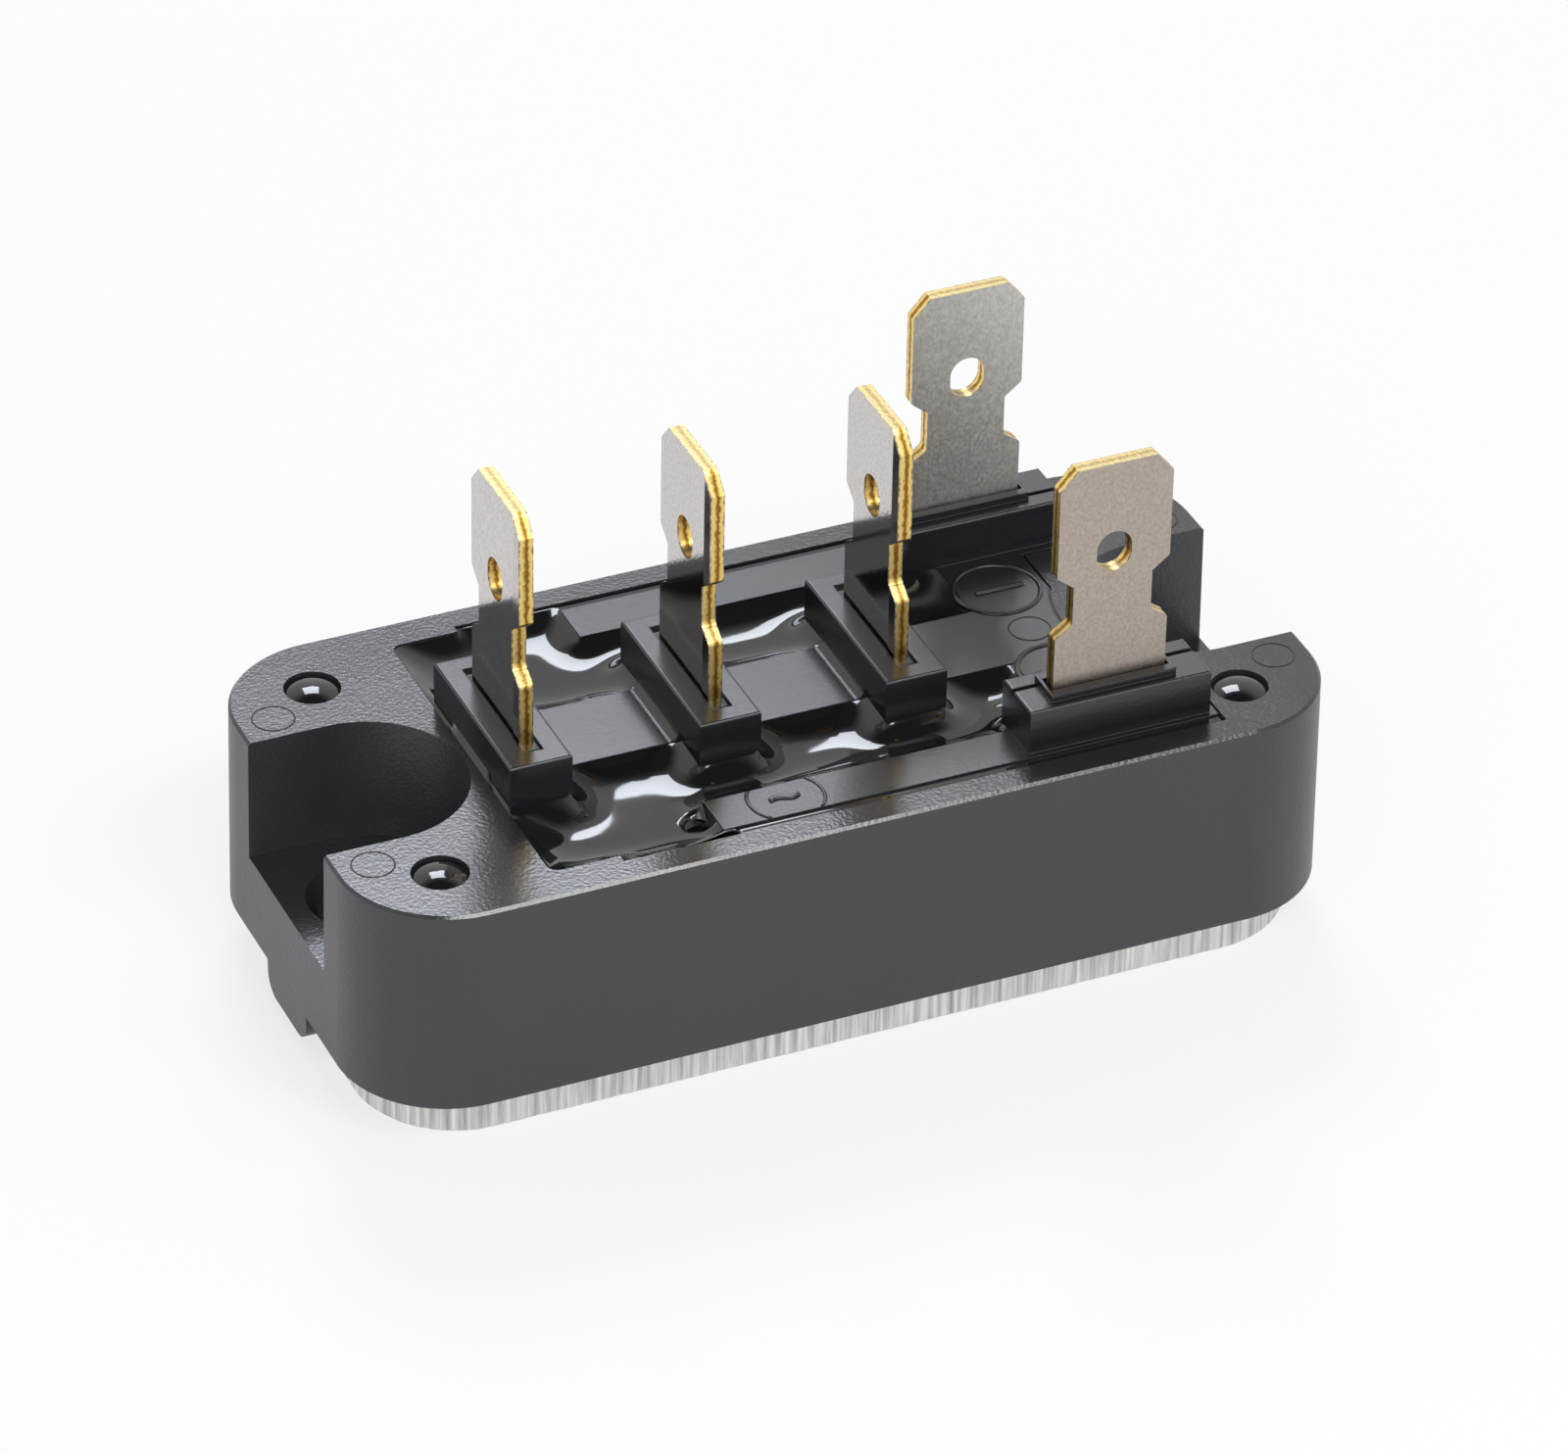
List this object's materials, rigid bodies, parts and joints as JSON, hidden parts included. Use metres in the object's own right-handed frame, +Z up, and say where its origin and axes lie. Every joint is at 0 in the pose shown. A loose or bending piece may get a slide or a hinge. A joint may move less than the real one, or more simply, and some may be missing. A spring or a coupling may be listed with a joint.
{
  "type": "three-phase bridge rectifier module",
  "caption": "Flat potted rectifier module with open end notches for screws, a metal base plate and upright push-on blades for the alternating inputs and the direct-current output.",
  "frame": {"origin": "middle of the base plate's underside", "axes": "+X along the length towards the direct-current end, +Y towards the minus blade, +Z up along the blades"},
  "size_m": [0.0542, 0.0262, 0.03],
  "materials": {
    "plate": "sheared edge, satin",
    "ceramic": "fired alumina, matt white",
    "copper": "bright copper",
    "silicon": "metallised silicon",
    "gel": "clear soft gel",
    "resin": "glossy black cast resin",
    "housing": "semi-gloss black moulding",
    "carrier": "semi-gloss black moulding",
    "blades": "tin-plated faces, bare sheared edges"
  },
  "bodies": {
    "root": {"base_plate": "plate", "clip_minus_1": "copper", "clip_minus_2": "copper", "clip_minus_3": "copper", "clip_plus_1": "copper", "clip_plus_2": "copper", "clip_plus_3": "copper", "corner_resin_plugs": "resin", "diode_minus_1": "silicon", "diode_minus_2": "silicon", "diode_minus_3": "silicon", "diode_plus_1": "silicon", "diode_plus_2": "silicon", "diode_plus_3": "silicon", "housing": "housing", "insulating_substrate": "ceramic", "pad_ac_1": "copper", "pad_ac_2": "copper", "pad_ac_3": "copper", "pad_minus_bus": "copper", "pad_plus_bus": "copper", "potting_resin": "resin", "silicone_gel": "gel", "terminal_ac_1": "blades", "terminal_ac_2": "blades", "terminal_ac_3": "blades", "terminal_carrier": "carrier", "terminal_dc_minus": "blades", "terminal_dc_plus": "blades"}
  },
  "joints": []
}
